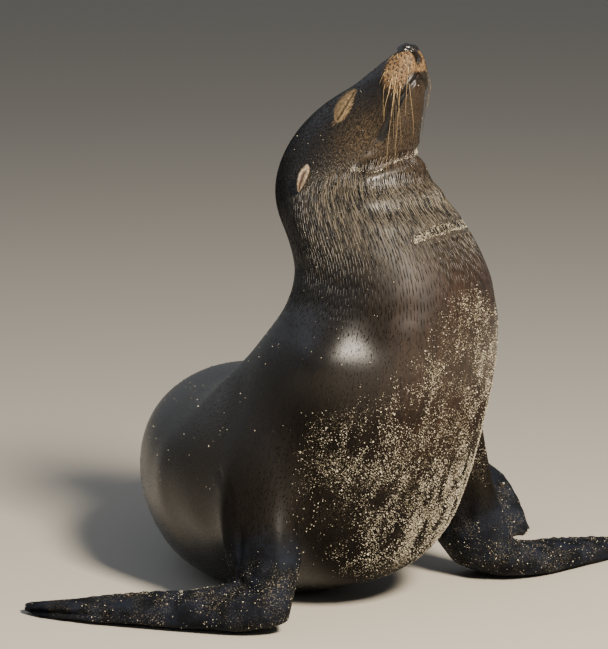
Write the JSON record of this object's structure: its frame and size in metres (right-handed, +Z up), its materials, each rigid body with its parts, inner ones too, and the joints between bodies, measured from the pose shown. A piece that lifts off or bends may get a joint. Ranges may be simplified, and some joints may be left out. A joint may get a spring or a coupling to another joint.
{
  "type": "sea lion model",
  "caption": "Life-size still model of a sea lion sitting upright on its fore flippers, head thrown back, eyes shut, hindquarters curled round to its left.",
  "frame": {"origin": "centre of the model's footprint box, on the floor it sits on", "axes": "+Z up; the animal's head and chest face -Y and its left is +X, with the hindquarters curled round towards +X"},
  "size_m": [1.0216, 0.6934, 0.6522],
  "materials": {
    "wet_coat": "wet short dark brown fur over skin, glossy",
    "bare_skin": "wet blue-black hairless flipper skin, finely wrinkled",
    "nose_skin": "wet black nose skin",
    "eye": "dark wet eyeball, all but hidden between shut lids",
    "ear_skin": "pale tan rolled ear",
    "nail": "dark horn nail"
  },
  "bodies": {
    "root": {"head": "wet_coat", "neck": "wet_coat", "chest": "wet_coat", "belly": "wet_coat", "hips": "wet_coat", "tail": "wet_coat", "right_arm": "wet_coat", "right_foreflipper": "bare_skin", "left_arm": "wet_coat", "left_foreflipper": "bare_skin", "left_shank": "wet_coat", "left_hindflipper": "bare_skin", "right_shank": "wet_coat", "right_hindflipper": "bare_skin", "nose_pad": "nose_skin", "right_eye": "eye", "right_ear": "ear_skin", "left_eye": "eye", "left_ear": "ear_skin", "left_nail_2": "nail", "left_nail_3": "nail", "left_nail_4": "nail", "right_nail_2": "nail", "right_nail_3": "nail", "right_nail_4": "nail"}
  },
  "joints": []
}
